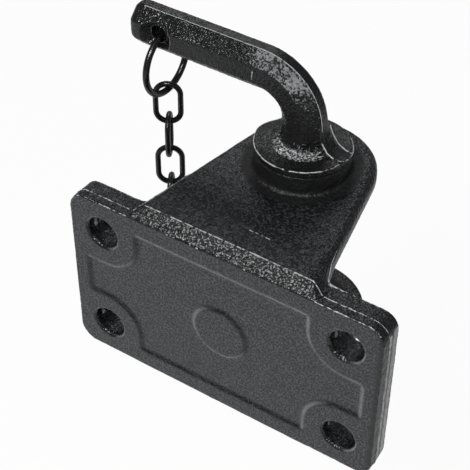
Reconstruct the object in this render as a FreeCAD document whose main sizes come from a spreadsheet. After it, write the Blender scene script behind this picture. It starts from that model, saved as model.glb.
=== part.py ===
import FreeCAD, Part
import math
import os
import Sketcher

# Bolt-on drawbar jaw with an L-handled hitch pin, a handle ring, a chain and a linch pin.
# X runs across the flange, Y from the mounting face to the nose of the jaws, Z along the hitch pin.
# The origin is the centre of the four bolts on the mounting face.

# Driving dimensions, in millimetres and degrees
DIMENSIONS = [
    ("bolt_across", "120", "bolt spacing across the flange"),
    ("bolt_up", "55", "bolt spacing up the flange"),
    ("bolt_bore", "15", "bolt hole diameter"),
    ("bolt_rim_break", "1.1", "broken edge of each bolt hole"),
    ("plate_wide", "153", "flange width at the parting line"),
    ("plate_tall", "88.5", "flange height at the parting line"),
    ("plate_thick", "12.3", "flange thickness"),
    ("plate_corner", "8", "flange corner radius"),
    ("parting_depth", "4.4", "parting line behind the mounting face"),
    ("casting_draft", "3", "draft on the flange edges"),
    ("recess_deep", "1", "relief in the mounting face"),
    ("rim_side", "8", "seating rim left at the flange ends"),
    ("rim_edge", "9.75", "seating rim left at the top and bottom"),
    ("bolt_pad", "18", "radius of the seating pad round each bolt"),
    ("centre_disc", "27", "diameter of the seating disc in the middle"),
    ("recess_edge", "0.8", "broken edge of the relief"),
    ("jaw_rise", "4.25", "jaws above and below the flange edges"),
    ("upper_thick", "8.5", "upper jaw thickness"),
    ("lower_thick", "10", "lower jaw thickness"),
    ("pin_reach", "65.5", "pin axis in front of the mounting face"),
    ("nose_radius", "31.3", "nose radius of both jaws"),
    ("nose_lead", "2.4", "centre of the nose in front of the pin axis"),
    ("side_taper", "11", "taper of the jaw sides"),
    ("root_flare", "6", "radius where the jaw sides meet the flange"),
    ("gate_half", "45", "half width of the gate strip over the flange"),
    ("gate_run", "6", "depth of the slanted gate strip"),
    ("throat_pad", "2", "throat wall in front of the flange"),
    ("throat_round", "14", "radius in the throat"),
    ("jaw_edge", "4", "outer edge radius of the jaws"),
    ("mouth_edge", "2", "mouth edge radius of the jaws"),
    ("boss_wide", "42.4", "boss diameter"),
    ("boss_high", "9.4", "boss height"),
    ("boss_root", "1.6", "fillet round the foot of the boss"),
    ("boss_rim", "0.4", "edge radius of the boss"),
    ("pin_wide", "28", "hitch pin diameter"),
    ("pin_play", "0.35", "radial play of the hitch pin"),
    ("collar_wide", "43", "collar diameter"),
    ("collar_high", "3.3", "collar height"),
    ("collar_edge", "0.4", "edge radius of the collar"),
    ("flare_wide", "28", "diameter of the flare on the collar"),
    ("flare_high", "6", "height of the flare"),
    ("rib_thick", "8", "thickness of the rib on the outside of the bend"),
    ("rib_inset", "1.2", "foot of the rib inside the collar edge"),
    ("rib_round", "11", "hollow of the rib"),
    ("pin_tail", "18", "pin length below the lower boss"),
    ("tail_break", "3", "chamfer at the foot of the pin"),
    ("cross_bore", "10.5", "cross hole for the linch pin"),
    ("cross_drop", "8", "cross hole below the lower boss"),
    ("bar_deep", "19.8", "handle section in the plane of the bend"),
    ("bar_wide", "16.4", "handle section across the bend"),
    ("bar_bevel", "5.8", "bevel of the handle section"),
    ("bar_edge", "0.9", "edge radius of the handle section"),
    ("bar_rise", "33.6", "handle axis above the boss"),
    ("bend_radius", "20", "bend radius of the handle axis"),
    ("bar_reach", "85.5", "end of the handle from the pin axis"),
    ("bar_end_round", "5", "rounding of the handle end"),
    ("eyelet_inset", "14.9", "handle hole from the end of the handle"),
    ("eyelet_bore", "8.2", "handle hole diameter"),
    ("eyelet_flare", "3", "flare of the handle hole"),
    ("ring_radius", "15.4", "handle ring radius to the wire axis"),
    ("ring_wire", "3", "handle ring wire"),
    ("hang_gap", "0.2", "gap where a hanging piece bears"),
    ("chain_yaw", "29", "turn of the chain about its length"),
    ("link_wire", "2.6", "link wire"),
    ("link_wide", "13.9", "link width over the wire"),
    ("link_inner", "18.2", "link length inside"),
    ("split_radius", "6", "linch ring radius to the wire axis"),
    ("split_wire", "2", "linch ring wire"),
    ("lug_bore", "4.4", "hole in the linch pin lug"),
    ("lug_thick", "5", "linch pin lug thickness"),
    ("lug_wide", "10", "linch pin lug width"),
    ("lug_drop", "7.8", "pivot of the bail below the lug hole"),
    ("head_wide", "13", "linch pin head diameter"),
    ("head_high", "10", "linch pin head height"),
    ("shank_wide", "9.5", "linch pin shank diameter"),
    ("shank_long", "32", "linch pin shank length"),
    ("shank_tip", "2", "chamfer at the tip of the linch pin"),
    ("bail_wire", "3", "bail wire"),
    ("bail_half", "17", "half width of the bail to the wire axis"),
    ("bail_bend", "4.5", "bend radius beside the head"),
    ("bail_gap", "2", "gap between the ends of the bail"),
    ("bail_tip_gap", "0.6", "gap between the bail and the tip"),
    ("pivot_play", "0.08", "radial play of the bail in the head"),
]
LINK_COUNT = 7

doc = FreeCAD.newDocument("drawbar_jaw")
sheet = doc.addObject("Spreadsheet::Sheet", "Sheet")
for row, (alias, number, meaning) in enumerate(DIMENSIONS, start=1):
    sheet.set(f"A{row}", meaning)
    sheet.set(f"B{row}", number)
    sheet.setAlias(f"B{row}", alias)
doc.recompute()


class Size:
    """A value with the sheet formula that it is worked out from."""

    def __init__(self, value, formula):
        self.value = value
        self.formula = formula

    def __add__(self, other):
        other = as_size(other)
        return Size(self.value + other.value, f"({self.formula} + {other.formula})")

    def __sub__(self, other):
        other = as_size(other)
        return Size(self.value - other.value, f"({self.formula} - {other.formula})")

    def __mul__(self, other):
        other = as_size(other)
        return Size(self.value * other.value, f"({self.formula} * {other.formula})")

    def __truediv__(self, other):
        other = as_size(other)
        return Size(self.value / other.value, f"({self.formula} / {other.formula})")

    def __neg__(self):
        return Size(-self.value, f"(0 - {self.formula})")


def as_size(number):
    return number if isinstance(number, Size) else Size(float(number), str(number))


def root(size):
    return Size(math.sqrt(size.value), f"sqrt({size.formula})")


def sine(angle):
    return Size(math.sin(math.radians(angle.value)), f"sin({angle.formula} * 1 deg)")


def cosine(angle):
    return Size(math.cos(math.radians(angle.value)), f"cos({angle.formula} * 1 deg)")


def tangent(angle):
    return Size(math.tan(math.radians(angle.value)), f"tan({angle.formula} * 1 deg)")


def cell(alias):
    return Size(float(sheet.get(alias)), f"Sheet.{alias}")


TOUCH = 0.01
ZERO = Size(0.0, "0")
ONE = Size(1.0, "1")
MARGIN = Size(1.0, "1")
HALF_TURN_RUN = math.tan(math.radians(22.5))


def bind(thing, name, size):
    """Set a property of a feature and tie it to the sheet."""
    setattr(thing, name, size.value)
    thing.setExpression(name, size.formula)


def new_body(name, x=ZERO, y=ZERO, z=ZERO, yaw=ZERO):
    body = doc.addObject("PartDesign::Body", name)
    body.Label = name
    place(body, x, y, z, FreeCAD.Rotation(FreeCAD.Vector(0, 0, 1), yaw.value))
    return body


def place(piece, x, y, z, turn):
    piece.Placement = FreeCAD.Placement(FreeCAD.Vector(x.value, y.value, z.value), turn)
    piece.setExpression("Placement.Base.x", x.formula)
    piece.setExpression("Placement.Base.y", y.formula)
    piece.setExpression("Placement.Base.z", z.formula)


def sketch_on(body, name, plane, across=ZERO, up=ZERO, out=ZERO):
    """A sketch on one of the body's own origin planes, moved within and off that plane."""
    sketch = body.newObject("Sketcher::SketchObject", name)
    support = [feature for feature in body.Origin.OriginFeatures if feature.Role == plane]
    sketch.AttachmentSupport = [(support[0], "")]
    sketch.MapMode = "FlatFace"
    offset = FreeCAD.Vector(across.value, up.value, out.value)
    sketch.AttachmentOffset = FreeCAD.Placement(offset, FreeCAD.Rotation())
    sketch.setExpression("AttachmentOffset.Base.x", across.formula)
    sketch.setExpression("AttachmentOffset.Base.y", up.formula)
    sketch.setExpression("AttachmentOffset.Base.z", out.formula)
    return sketch


def pin_point(sketch, geometry, end, x, y):
    """Hold one end of a sketch line at a place worked out from the sheet.

    In a sketch, geometry -1 is the axis across, with the origin as its first point, and -2 the axis up.
    """
    for kind, axis, size in (("DistanceX", -2, x), ("DistanceY", -1, y)):
        if size is ZERO:
            sketch.addConstraint(Sketcher.Constraint("PointOnObject", geometry, end, axis))
        else:
            datum = Sketcher.Constraint(kind, -1, 1, geometry, end, size.value)
            number = sketch.addConstraint(datum)
            sketch.setExpression(f"Constraints[{number}]", size.formula)


def arc_between(start, finish, radius, turn):
    """The shorter arc from start to finish; turn is 1 counter-clockwise and -1 clockwise."""
    chord = finish - start
    middle = (start + finish) * 0.5
    left = FreeCAD.Vector(-chord.y, chord.x, 0).normalize()
    rise = math.sqrt(max(radius ** 2 - (chord.Length / 2) ** 2, 0.0))
    centre = middle + left * rise * turn
    first, last = (start, finish) if turn > 0 else (finish, start)
    begin = math.atan2(first.y - centre.y, first.x - centre.x)
    end = math.atan2(last.y - centre.y, last.x - centre.x)
    if end < begin:
        end += 2 * math.pi
    circle = Part.Circle(centre, FreeCAD.Vector(0, 0, 1), radius)
    return Part.ArcOfCircle(circle, begin, end)


def draw_path(sketch, points, arcs=None, closed=True):
    """Lines, and arcs where arcs gives edge number: (radius, turn), through points of sheet sizes."""
    arcs = arcs or {}
    places = [FreeCAD.Vector(x.value, y.value, 0) for x, y in points]
    edges = len(points) if closed else len(points) - 1
    ends = []
    for number in range(edges):
        start = places[number]
        finish = places[(number + 1) % len(points)]
        if number in arcs:
            radius, turn = arcs[number]
            geometry = sketch.addGeometry(arc_between(start, finish, radius.value, turn), False)
            ends.append((geometry, 1, 2) if turn > 0 else (geometry, 2, 1))
            limit = sketch.addConstraint(Sketcher.Constraint("Radius", geometry, radius.value))
            sketch.setExpression(f"Constraints[{limit}]", radius.formula)
        else:
            geometry = sketch.addGeometry(Part.LineSegment(start, finish), False)
            ends.append((geometry, 1, 2))
    for number, (x, y) in enumerate(points[:edges]):
        geometry, start, _ = ends[number]
        pin_point(sketch, geometry, start, x, y)
    for number in range(edges if closed else edges - 1):
        geometry, _, finish = ends[number]
        other, start, _ = ends[(number + 1) % edges]
        joint = Sketcher.Constraint("Coincident", geometry, finish, other, start)
        sketch.addConstraint(joint)
    if not closed:
        geometry, _, finish = ends[-1]
        pin_point(sketch, geometry, finish, *points[-1])


def draw_circle(sketch, x, y, diameter):
    circle = Part.Circle(FreeCAD.Vector(x.value, y.value, 0), FreeCAD.Vector(0, 0, 1), diameter.value / 2)
    geometry = sketch.addGeometry(circle, False)
    pin_point(sketch, geometry, 3, x, y)
    number = sketch.addConstraint(Sketcher.Constraint("Diameter", geometry, diameter.value))
    sketch.setExpression(f"Constraints[{number}]", diameter.formula)


def extrude(body, name, kind, sketch, length, reverse=False):
    """A Pad or Pocket of a sketch."""
    feature = body.newObject(f"PartDesign::{kind}", name)
    feature.Profile = sketch
    bind(feature, "Length", length)
    feature.Reversed = reverse
    body.Tip = feature
    return feature


def turn_profile(body, name, kind, sketch):
    """A full Revolution or Groove of a sketch about its own upright axis."""
    feature = body.newObject(f"PartDesign::{kind}", name)
    feature.Profile = sketch
    feature.ReferenceAxis = (sketch, ["V_Axis"])
    feature.Angle = 360
    body.Tip = feature
    return feature


def sweep_profile(body, name, sketch, path):
    """A pipe of a sketch along every edge of a path sketch."""
    feature = body.newObject("PartDesign::AdditivePipe", name)
    feature.Profile = sketch
    feature.Spine = (path, [f"Edge{number + 1}" for number in range(path.GeometryCount)])
    body.Tip = feature
    return feature


def dress_edges(body, name, kind, sizes, wanted):
    """A Fillet or Chamfer on the edges of the tip that the test picks out."""
    doc.recompute()
    base = body.Tip
    picked = [f"Edge{i}" for i, edge in enumerate(base.Shape.Edges, start=1) if wanted(edge)]
    if not picked:
        raise RuntimeError(f"{name} finds no edge")
    feature = body.newObject(f"PartDesign::{kind}", name)
    feature.Base = (base, picked)
    bind(feature, "Radius" if kind == "Fillet" else "Size", sizes)
    body.Tip = feature
    return feature


def near(value, target):
    return abs(value - target) < TOUCH


def level_at(edge, height):
    """Whether the whole edge lies at one height."""
    return near(edge.BoundBox.ZMin, height) and near(edge.BoundBox.ZMax, height)


bolt_across = cell("bolt_across")
bolt_up = cell("bolt_up")
plate_wide = cell("plate_wide")
plate_tall = cell("plate_tall")
plate_thick = cell("plate_thick")
parting_depth = cell("parting_depth")
jaw_top = plate_tall / 2 + cell("jaw_rise")
jaw_floor = -jaw_top
mouth_top = jaw_top - cell("upper_thick")
mouth_floor = jaw_floor + cell("lower_thick")
pin_reach = cell("pin_reach")
nose_radius = cell("nose_radius")
nose_y = pin_reach + cell("nose_lead")
boss_high = cell("boss_high")
boss_top = jaw_top + boss_high
boss_floor = jaw_floor - boss_high
pin_wide = cell("pin_wide")
bore_wide = pin_wide + cell("pin_play") * 2


def rounded_rectangle(sketch, wide, tall, corner):
    half = wide / 2
    rise = tall / 2
    side = half - corner
    shoulder = rise - corner
    points = [
        (side, -rise), (half, -shoulder), (half, shoulder), (side, rise),
        (-side, rise), (-half, shoulder), (-half, -shoulder), (-side, -rise),
    ]
    draw_path(sketch, points, {number: (corner, 1) for number in (0, 2, 4, 6)})


def jaw_side_profile(sketch):
    """The side view of both jaws and the throat, in Y and Z."""
    nose = nose_y + nose_radius
    throat = plate_thick + cell("throat_pad")
    bend = cell("throat_round")
    gate = cell("gate_run")
    shoulder = plate_tall / 2
    points = [
        (ZERO, shoulder), (ZERO, -shoulder), (gate, jaw_floor), (nose, jaw_floor), (nose, mouth_floor),
        (throat + bend, mouth_floor), (throat, mouth_floor + bend), (throat, mouth_top - bend),
        (throat + bend, mouth_top), (nose, mouth_top), (nose, jaw_top), (gate, jaw_top),
    ]
    draw_path(sketch, points, {5: (bend, -1), 7: (bend, -1)})


def shoulder_trim(sketch):
    """The plan view outside the straight jaw sides, over the flange, in X and Y: one strip on each side."""
    lean = sine(cell("side_taper"))
    square = cosine(cell("side_taper"))
    flare_end = plate_thick + cell("root_flare") * (ONE - lean)
    outside = plate_wide / 2 + MARGIN
    near_x = (nose_radius + (nose_y + MARGIN) * lean) / square
    far_x = (nose_radius + (nose_y - flare_end) * lean) / square
    for side in (1, -1):
        corners = [
            (near_x * side, -MARGIN), (outside * side, -MARGIN),
            (outside * side, flare_end), (far_x * side, flare_end),
        ]
        draw_path(sketch, corners)


def jaw_plan_trim(sketch):
    """The plan view outside both jaws, in X and Y: a frame round their common outline."""
    taper = cell("side_taper")
    flare = cell("root_flare")
    gate = cell("gate_half")
    lean = sine(taper)
    square = cosine(taper)
    flare_y = plate_thick + flare
    flare_x = (nose_radius + flare - (flare_y - nose_y) * lean) / square
    side_x = flare_x - flare * square
    side_y = flare_y - flare * lean
    tangent_x = nose_radius * square
    tangent_y = nose_y + nose_radius * lean
    back = -MARGIN
    points = [
        (gate, back), (gate, plate_thick), (flare_x, plate_thick), (side_x, side_y),
        (tangent_x, tangent_y), (-tangent_x, tangent_y),
        (-side_x, side_y), (-flare_x, plate_thick), (-gate, plate_thick), (-gate, back),
    ]
    draw_path(sketch, points, {2: (flare, -1), 4: (nose_radius, 1), 6: (flare, -1)})
    frame_x = flare_x + MARGIN * 2
    front = nose_y + nose_radius + MARGIN
    corners = [(frame_x, back * 2), (frame_x, front), (-frame_x, front), (-frame_x, back * 2)]
    draw_path(sketch, corners)
    return flare_x


def face_recess(sketch):
    """The relief in the mounting face, in X and Z, with pads left round the bolts and in the middle."""
    pad = cell("bolt_pad")
    bolt_x = bolt_across / 2
    bolt_z = bolt_up / 2
    side = plate_wide / 2 - cell("rim_side")
    edge = plate_tall / 2 - cell("rim_edge")
    inner_x = bolt_x - pad
    inner_z = bolt_z - pad
    points = [
        (inner_x, edge), (inner_x, bolt_z), (bolt_x, inner_z), (side, inner_z),
        (side, -inner_z), (bolt_x, -inner_z), (inner_x, -bolt_z), (inner_x, -edge),
        (-inner_x, -edge), (-inner_x, -bolt_z), (-bolt_x, -inner_z), (-side, -inner_z),
        (-side, inner_z), (-bolt_x, inner_z), (-inner_x, bolt_z), (-inner_x, edge),
    ]
    draw_path(sketch, points, {1: (pad, 1), 5: (pad, 1), 9: (pad, 1), 13: (pad, 1)})
    draw_circle(sketch, ZERO, ZERO, cell("centre_disc"))


def make_jaw_body():
    body = new_body("jaw_body")
    trim_sketch = sketch_on(body, "plan_trim", "XY_Plane", out=jaw_top + MARGIN)
    widest = jaw_plan_trim(trim_sketch)
    side_sketch = sketch_on(body, "side_profile", "YZ_Plane", out=-widest - MARGIN)
    jaw_side_profile(side_sketch)
    extrude(body, "jaws", "Pad", side_sketch, (widest + MARGIN) * 2)
    extrude(body, "plan_cut", "Pocket", trim_sketch, jaw_top - jaw_floor + MARGIN * 2)
    flange_back_edge = plate_tall / 2 - (plate_thick - parting_depth) * tangent(cell("casting_draft"))
    shoulder_cuts = [
        ("upper_shoulders", flange_back_edge, False), ("lower_shoulders", -flange_back_edge, True),
    ]
    for name, level, below in shoulder_cuts:
        shoulder_sketch = sketch_on(body, f"{name}_outline", "XY_Plane", out=level)
        shoulder_trim(shoulder_sketch)
        extrude(body, name, "Pocket", shoulder_sketch, jaw_top - flange_back_edge + MARGIN, reverse=not below)

    back_sketch = sketch_on(body, "flange_back", "XZ_Plane", out=-parting_depth)
    rounded_rectangle(back_sketch, plate_wide, plate_tall, cell("plate_corner"))
    back = extrude(body, "flange", "Pad", back_sketch, plate_thick - parting_depth, reverse=True)
    back.TaperAngle = -cell("casting_draft").value
    front_sketch = sketch_on(body, "flange_front", "XZ_Plane", out=-parting_depth)
    rounded_rectangle(front_sketch, plate_wide, plate_tall, cell("plate_corner"))
    front = extrude(body, "flange_face", "Pad", front_sketch, parting_depth)
    front.TaperAngle = -cell("casting_draft").value

    for name, level, below in (("upper_boss", jaw_top, False), ("lower_boss", jaw_floor, True)):
        boss_sketch = sketch_on(body, f"{name}_outline", "XY_Plane", out=level)
        draw_circle(boss_sketch, ZERO, pin_reach, cell("boss_wide"))
        extrude(body, name, "Pad", boss_sketch, boss_high, reverse=below)

    def outer_jaw_edge(edge):
        outside = level_at(edge, jaw_top.value) or level_at(edge, jaw_floor.value)
        return outside and edge.BoundBox.YMax > plate_thick.value + TOUCH and not edge.Closed

    def mouth_edge(edge):
        inside = level_at(edge, mouth_top.value) or level_at(edge, mouth_floor.value)
        throat = plate_thick.value + cell("throat_pad").value + cell("throat_round").value
        return inside and edge.BoundBox.YMax > throat + TOUCH and not edge.Closed

    dress_edges(body, "jaw_rounding", "Fillet", cell("jaw_edge"), outer_jaw_edge)
    dress_edges(body, "mouth_rounding", "Fillet", cell("mouth_edge"), mouth_edge)

    def boss_foot(edge):
        return edge.Closed and (level_at(edge, jaw_top.value) or level_at(edge, jaw_floor.value))

    def boss_edge(edge):
        return edge.Closed and (level_at(edge, boss_top.value) or level_at(edge, boss_floor.value))

    dress_edges(body, "boss_fillet", "Fillet", cell("boss_root"), boss_foot)
    dress_edges(body, "boss_rounding", "Fillet", cell("boss_rim"), boss_edge)

    bore_sketch = sketch_on(body, "bore_outline", "XY_Plane", out=boss_top)
    draw_circle(bore_sketch, ZERO, pin_reach, bore_wide)
    extrude(body, "pin_bore", "Pocket", bore_sketch, boss_top - boss_floor + MARGIN)

    recess_sketch = sketch_on(body, "recess_outline", "XZ_Plane")
    face_recess(recess_sketch)
    extrude(body, "face_recess", "Pocket", recess_sketch, cell("recess_deep"))

    def recess_edge(edge):
        box = edge.BoundBox
        relief_wide = plate_wide.value - cell("rim_side").value * 2
        return near(box.YMin, 0) and near(box.YMax, 0) and box.XLength < relief_wide and inside_rim(box)

    def inside_rim(box):
        side = plate_wide.value / 2 - cell("rim_side").value + TOUCH
        edge = plate_tall.value / 2 - cell("rim_edge").value + TOUCH
        return max(-box.XMin, box.XMax) < side and max(-box.ZMin, box.ZMax) < edge

    dress_edges(body, "recess_rims", "Chamfer", cell("recess_edge"), recess_edge)

    bolt_sketch = sketch_on(body, "bolt_circles", "XZ_Plane")
    for side in (-1, 1):
        for level in (-1, 1):
            draw_circle(bolt_sketch, bolt_across * side / 2, bolt_up * level / 2, cell("bolt_bore"))
    extrude(body, "bolt_holes", "Pocket", bolt_sketch, plate_thick + MARGIN)

    def bolt_rim(edge):
        wide = edge.BoundBox.XLength
        return edge.Closed and near(edge.BoundBox.YMax, 0) and near(wide, cell("bolt_bore").value)

    dress_edges(body, "bolt_rims", "Chamfer", cell("bolt_rim_break"), bolt_rim)
    return body


bar_axis = cell("bar_rise")
pin_foot = boss_floor - cell("pin_tail") - boss_top
eyelet_reach = cell("bar_reach") - cell("eyelet_inset")


def shank_profile(sketch):
    """Half of the shank, collar and flare, in X and Z."""
    radius = pin_wide / 2
    collar = cell("collar_wide") / 2
    edge = cell("collar_edge")
    high = cell("collar_high")
    flare = cell("flare_wide") / 2
    rise = cell("flare_high")
    stem = flare - rise
    tail = cell("tail_break")
    points = [
        (ZERO, pin_foot), (radius - tail, pin_foot), (radius, pin_foot + tail), (radius, ZERO),
        (collar, ZERO), (collar, high - edge), (collar - edge, high),
        (flare, high), (stem, high + rise), (ZERO, high + rise),
    ]
    draw_path(sketch, points, {5: (edge, 1), 7: (rise, -1)})


def rib_profile(sketch):
    """The rib on the outside of the bend, in X and Z: a hollow curve from the collar up to the handle."""
    high = cell("collar_high")
    hollow = cell("rib_round")
    foot = cell("collar_wide") / 2 - cell("rib_inset")
    crest = foot - hollow
    points = [(ZERO, ZERO), (foot, ZERO), (foot, high), (crest, high + hollow), (ZERO, high + hollow)]
    draw_path(sketch, points, {2: (hollow, -1)})


def soft_corners(points, radius):
    """The outline of an eight-sided section with an arc at each corner, and those arcs."""
    run = radius * HALF_TURN_RUN
    outline = []
    for number, (x, y) in enumerate(points):
        for other_x, other_y in (points[number - 1], points[(number + 1) % len(points)]):
            across = other_x - x
            up = other_y - y
            share = run / root(across * across + up * up)
            outline.append((x + across * share, y + up * share))
    return outline, {number * 2: (radius, 1) for number in range(len(points))}


def bar_section(sketch):
    """The eight-sided section of the handle."""
    deep = cell("bar_deep") / 2
    wide = cell("bar_wide") / 2
    bevel = cell("bar_bevel")
    points = [
        (deep - bevel, -wide), (deep, bevel - wide), (deep, wide - bevel), (deep - bevel, wide),
        (bevel - deep, wide), (-deep, wide - bevel), (-deep, bevel - wide), (bevel - deep, -wide),
    ]
    outline, corners = soft_corners(points, cell("bar_edge"))
    draw_path(sketch, outline, corners)


def eyelet_profile(sketch):
    """Half of the flared hole, with its axis on the sketch's upright axis."""
    bore = cell("eyelet_bore") / 2
    flare = cell("eyelet_flare")
    face = cell("bar_wide") / 2
    waist = face - flare
    outside = face + MARGIN
    mouth = bore + flare + MARGIN
    points = [
        (ZERO, -outside), (mouth, -outside), (bore, -waist), (bore, waist), (mouth, outside), (ZERO, outside),
    ]
    draw_path(sketch, points)


def make_hitch_pin():
    body = new_body("hitch_pin", y=pin_reach, z=boss_top)
    shank_sketch = sketch_on(body, "shank_profile", "XZ_Plane")
    shank_profile(shank_sketch)
    turn_profile(body, "shank", "Revolution", shank_sketch)

    start = cell("collar_high") / 2
    bend = cell("bend_radius")
    section = sketch_on(body, "bar_section", "XY_Plane", out=start)
    bar_section(section)
    path = sketch_on(body, "bar_path", "XZ_Plane")
    points = [(ZERO, start), (ZERO, bar_axis - bend), (-bend, bar_axis), (-cell("bar_reach"), bar_axis)]
    draw_path(path, points, {1: (bend, 1)}, closed=False)
    sweep_profile(body, "handle", section, path)
    rib_sketch = sketch_on(body, "rib_profile", "XZ_Plane", out=-cell("rib_thick") / 2)
    rib_profile(rib_sketch)
    extrude(body, "heel_rib", "Pad", rib_sketch, cell("rib_thick"))

    def end_edge(edge):
        box = edge.BoundBox
        return near(box.XMin, -cell("bar_reach").value) and near(box.XMax, -cell("bar_reach").value)

    dress_edges(body, "handle_end", "Fillet", cell("bar_end_round"), end_edge)

    eyelet_sketch = sketch_on(body, "eyelet_profile", "XY_Plane", across=-eyelet_reach, out=bar_axis)
    eyelet_profile(eyelet_sketch)
    turn_profile(body, "eyelet", "Groove", eyelet_sketch)

    cross_level = boss_floor - cell("cross_drop") - boss_top
    cross_sketch = sketch_on(body, "cross_circle", "YZ_Plane", out=pin_wide / 2 + MARGIN)
    draw_circle(cross_sketch, ZERO, cross_level, cell("cross_bore"))
    extrude(body, "cross_hole", "Pocket", cross_sketch, pin_wide + MARGIN * 2)
    return body


hang_gap = cell("hang_gap")
ring_radius = cell("ring_radius")
ring_wire = cell("ring_wire")
link_wire = cell("link_wire")
link_inner = cell("link_inner")
chain_yaw = cell("chain_yaw")
split_radius = cell("split_radius")
split_wire = cell("split_wire")

# The ring bears where the straight part of the handle hole ends, on both sides.
eyelet_floor = boss_top + bar_axis - cell("eyelet_bore") / 2
bearing_half = cell("bar_wide") / 2 - cell("eyelet_flare")
ring_inside = ring_radius - ring_wire / 2
ring_z = eyelet_floor + hang_gap - root(ring_inside * ring_inside - bearing_half * bearing_half)
first_link_top = ring_z - ring_radius + ring_wire / 2 + link_wire / 2 + hang_gap
link_span = link_inner + link_wire
link_pitch = link_inner - hang_gap
last_link_floor = first_link_top - link_span - link_pitch * (LINK_COUNT - 1)
split_z = last_link_floor + link_wire / 2 + split_wire / 2 + hang_gap - split_radius

# The linch pin hangs with the faces of its lug on the curve of the linch ring.
lug_half = cell("lug_thick") / 2
split_sag = split_radius - root(split_radius * split_radius - lug_half * lug_half)
lug_hole_z = split_z - split_radius + split_sag + split_wire / 2 + hang_gap - cell("lug_bore") / 2
pivot_z = lug_hole_z - cell("lug_drop")


def make_ring(name, radius, wire, z, yaw):
    """A round wire ring that hangs in the plane of Z and of Y turned by yaw."""
    ring = doc.addObject("Part::Torus", name)
    ring.Label = name
    bind(ring, "Radius1", radius)
    bind(ring, "Radius2", wire / 2)
    upright = FreeCAD.Rotation(FreeCAD.Vector(0, 0, 1), yaw) * FreeCAD.Rotation(FreeCAD.Vector(0, 1, 0), 90)
    place(ring, -eyelet_reach, pin_reach, z, upright)
    return ring


def wire_circle(body, name, plane, wire, x=ZERO, out=ZERO):
    sketch = sketch_on(body, name, plane, out=out)
    draw_circle(sketch, x, ZERO, wire)
    return sketch


def make_link(number):
    """One chain link: every second one is a quarter turn round."""
    quarter = chain_yaw + 90 * (number % 2)
    centre = first_link_top - link_span / 2 - link_pitch * number
    body = new_body(f"chain_link_{number + 1}", -eyelet_reach, pin_reach, centre, quarter)
    bend = (cell("link_wide") - link_wire) / 2
    straight = link_span / 2 - bend
    path = sketch_on(body, f"link_path_{number + 1}", "XZ_Plane")
    points = [
        (bend, ZERO), (bend, straight), (ZERO, straight + bend), (-bend, straight),
        (-bend, -straight), (ZERO, -straight - bend), (bend, -straight),
    ]
    draw_path(path, points, {number: (bend, 1) for number in (1, 2, 4, 5)})
    circle = wire_circle(body, f"link_wire_{number + 1}", "XY_Plane", link_wire, x=bend)
    sweep_profile(body, f"link_{number + 1}", circle, path)
    return body


def linch_profile(sketch):
    """Half of the linch pin's head and shank, in X and Z from the bail pivot."""
    head = cell("head_wide") / 2
    half = cell("head_high") / 2
    shank = cell("shank_wide") / 2
    tip = cell("shank_tip")
    foot = -half - cell("shank_long")
    points = [
        (ZERO, foot), (shank - tip, foot), (shank, foot + tip), (shank, -half),
        (head, -half), (head, half), (ZERO, half),
    ]
    draw_path(sketch, points)


def make_linch_pin():
    body = new_body("linch_pin", -eyelet_reach, pin_reach, pivot_z, chain_yaw)
    pin_sketch = sketch_on(body, "linch_profile", "XZ_Plane")
    linch_profile(pin_sketch)
    turn_profile(body, "linch_shank", "Revolution", pin_sketch)

    half = cell("lug_wide") / 2
    centre = cell("lug_drop")
    lug_sketch = sketch_on(body, "lug_outline", "XZ_Plane", out=-lug_half)
    points = [(-half, ZERO), (half, ZERO), (half, centre), (ZERO, centre + half), (-half, centre)]
    draw_path(lug_sketch, points, {2: (half, 1), 3: (half, 1)})
    extrude(body, "lug", "Pad", lug_sketch, cell("lug_thick"))

    reach = cell("head_wide") / 2 + MARGIN
    hole_sketch = sketch_on(body, "lug_circle", "XZ_Plane", out=reach)
    draw_circle(hole_sketch, ZERO, centre, cell("lug_bore"))
    extrude(body, "lug_hole", "Pocket", hole_sketch, reach * 2)

    pivot_sketch = sketch_on(body, "pivot_circle", "YZ_Plane", out=reach)
    draw_circle(pivot_sketch, ZERO, ZERO, cell("bail_wire") + cell("pivot_play") * 2)
    extrude(body, "pivot_hole", "Pocket", pivot_sketch, reach * 2)
    return body


def make_linch_bail():
    body = new_body("linch_bail", -eyelet_reach, pin_reach, pivot_z, chain_yaw)
    half = cell("bail_half")
    bend = cell("bail_bend")
    inner = cell("bail_gap") / 2
    tip = cell("head_high") / 2 + cell("shank_long")
    floor = tip + cell("bail_tip_gap") + cell("bail_wire") / 2
    turn = floor - half
    path = sketch_on(body, "bail_path", "XZ_Plane")
    points = [
        (inner, ZERO), (half - bend, ZERO), (half, -bend), (half, -turn), (ZERO, -floor),
        (-half, -turn), (-half, -bend), (bend - half, ZERO), (-inner, ZERO),
    ]
    arcs = {1: (bend, -1), 3: (half, -1), 4: (half, -1), 6: (bend, -1)}
    draw_path(path, points, arcs, closed=False)
    circle = wire_circle(body, "bail_circle", "YZ_Plane", cell("bail_wire"), out=inner)
    sweep_profile(body, "bail", circle, path)
    return body


pieces = [
    make_jaw_body(),
    make_hitch_pin(),
    make_ring("handle_ring", ring_radius, ring_wire, ring_z, 0),
]
pieces += [make_link(number) for number in range(LINK_COUNT)]
pieces += [
    make_ring("linch_ring", split_radius, split_wire, split_z, chain_yaw.value),
    make_linch_pin(),
    make_linch_bail(),
]
doc.recompute()

for item in doc.Objects:
    if "Invalid" in item.State or "Error" in item.State:
        raise RuntimeError(f"{item.Name} failed: {item.State}")
for piece in pieces:
    if piece.Shape.isNull() or not piece.Shape.isValid():
        raise RuntimeError(f"{piece.Label} has no valid shape")
    if len(piece.Shape.Solids) != 1:
        raise RuntimeError(f"{piece.Label} has {len(piece.Shape.Solids)} solids")

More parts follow.
